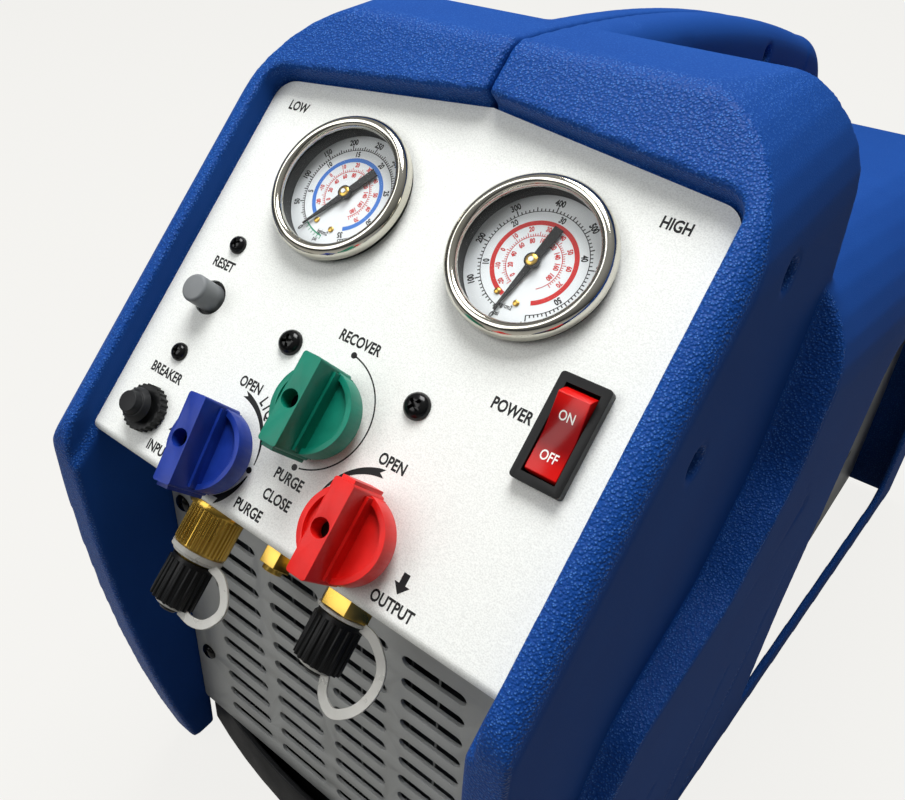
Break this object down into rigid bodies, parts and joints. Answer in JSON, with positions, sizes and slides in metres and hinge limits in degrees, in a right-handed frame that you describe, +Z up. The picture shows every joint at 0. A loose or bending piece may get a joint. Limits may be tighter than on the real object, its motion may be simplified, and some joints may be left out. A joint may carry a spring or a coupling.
{
  "type": "refrigerant_recovery_machine",
  "caption": "Portable refrigerant recovery machine: blue moulded shell with handle, sloped white control panel, two gauges, bar knobs, rocker switch, slotted grille",
  "frame": {"origin": "centre of the bounding box on the ground, under the feet", "axes": "+Z up, front faces -Y, +X to the right as seen from the front"},
  "size_m": [0.256, 0.4608, 0.3527],
  "materials": {
    "blue_shell": "pebbled moulded plastic",
    "panel_paint": "fine speckled white powder coat",
    "grille_metal": "satin grey coat",
    "black_tray": "fine textured black",
    "foot_rubber": "matt rubber",
    "cover_sheet": "satin grey coat",
    "black_plastic": "satin black",
    "coil_aluminium": "mill finish",
    "steel": "brushed",
    "cast": "die cast and blasted",
    "brass": "turned",
    "copper": "drawn copper pipe",
    "blue_knob": "satin moulded",
    "green_knob": "satin moulded",
    "red_knob": "satin moulded",
    "chrome": "polished",
    "dial_face": "printed face",
    "lens": "clear lens",
    "needle": "matt black",
    "rocker_red": "translucent red",
    "grey_plastic": "satin grey",
    "boot_rubber": "soft rubber",
    "clear_strap": "translucent milky",
    "screw_black": "black oxide"
  },
  "bodies": {
    "housing": {"left_shell": "blue_shell", "right_shell": "blue_shell", "control_panel": "panel_paint", "front_grille": "grille_metal", "base_tray": "black_tray", "rubber_feet": "foot_rubber", "rear_cover": "cover_sheet", "power_inlet": "black_plastic", "condenser_coil": "coil_aluminium", "fan_shroud": "black_plastic", "fan_motor": "steel", "fan_bracket": "steel", "compressor_block": "cast", "cylinder_heads": "cast", "compressor_motor": "steel", "motor_cradle": "steel", "valve_manifold": "brass", "suction_tube": "copper", "discharge_tube": "copper", "low_case": "black_plastic", "low_dial": "dial_face", "low_lens": "lens", "low_bezel": "chrome", "high_case": "black_plastic", "high_dial": "dial_face", "high_lens": "lens", "high_bezel": "chrome", "switch_frame": "black_plastic", "reset_body": "grey_plastic", "breaker_body": "black_plastic", "breaker_nut": "black_plastic", "input_port": "brass", "purge_port": "brass", "output_port": "brass", "input_washer": "clear_strap", "input_strap": "clear_strap", "output_strap": "clear_strap", "panel_screws": "screw_black", "bracket_screws": "screw_black", "grille_screws": "screw_black", "shell_screws": "screw_black", "handle_screws": "screw_black"},
    "input_valve": {"input_knob": "blue_knob", "input_stem": "steel", "input_knob_screw": "screw_black"},
    "mode_valve": {"mode_knob": "green_knob", "mode_stem": "steel", "mode_knob_screw": "screw_black"},
    "output_valve": {"output_knob": "red_knob", "output_stem": "steel", "output_knob_screw": "screw_black"},
    "low_pointer": {"low_needle": "needle"},
    "high_pointer": {"high_needle": "needle"},
    "rocker": {"switch_rocker": "rocker_red"},
    "reset_plunger": {"reset_button": "grey_plastic"},
    "breaker_plunger": {"breaker_boot": "boot_rubber"},
    "input_cap_body": {"input_cap": "black_plastic"},
    "output_cap_body": {"output_cap": "black_plastic"},
    "fan": {"fan_blades": "black_plastic"}
  },
  "joints": [
    {"name": "input_valve_turn", "type": "hinge", "parent": "housing", "child": "input_valve", "pos_m": [-0.0297, -0.19501, 0.23746], "axis": [0, -0.6743, 0.7385], "range_deg": [0, 170]},
    {"name": "mode_valve_turn", "type": "hinge", "parent": "housing", "child": "mode_valve", "pos_m": [0, -0.17478, 0.25594], "axis": [0, -0.6743, 0.7385], "range_deg": [0, 180]},
    {"name": "output_valve_turn", "type": "hinge", "parent": "housing", "child": "output_valve", "pos_m": [0.0297, -0.19501, 0.23746], "axis": [0, -0.6743, 0.7385], "range_deg": [0, 90]},
    {"name": "low_pointer_turn", "type": "hinge", "parent": "housing", "child": "low_pointer", "pos_m": [-0.0372, -0.12242, 0.30375], "axis": [0, -0.6743, 0.7385], "range_deg": [-280, 0]},
    {"name": "high_pointer_turn", "type": "hinge", "parent": "housing", "child": "high_pointer", "pos_m": [0.0372, -0.12242, 0.30375], "axis": [0, -0.6743, 0.7385], "range_deg": [-280, 0]},
    {"name": "rocker_tilt", "type": "hinge", "parent": "housing", "child": "rocker", "pos_m": [0.0709, -0.15403, 0.27326], "axis": [1, 0, 0], "range_deg": [-20, 0]},
    {"name": "reset_press", "type": "slide", "parent": "housing", "child": "reset_plunger", "axis": [0, -0.6743, 0.7385], "range_m": [-0.0025, 0], "stiffness_N_per_m": 800},
    {"name": "breaker_press", "type": "slide", "parent": "housing", "child": "breaker_plunger", "axis": [0, -0.6743, 0.7385], "range_m": [-0.0015, 0], "stiffness_N_per_m": 900},
    {"name": "input_cap_turn", "type": "hinge", "parent": "housing", "child": "input_cap_body", "pos_m": [-0.0297, -0.2196, 0.19469], "axis": [0, -0.7385, -0.6743], "range_deg": [0, 720]},
    {"name": "output_cap_turn", "type": "hinge", "parent": "housing", "child": "output_cap_body", "pos_m": [0.0297, -0.20927, 0.20413], "axis": [0, -0.7385, -0.6743], "range_deg": [0, 720]},
    {"name": "fan_turn", "type": "hinge", "parent": "housing", "child": "fan", "pos_m": [0, -0.12156, 0.105], "axis": [0, 1, 0], "continuous": true}
  ]
}
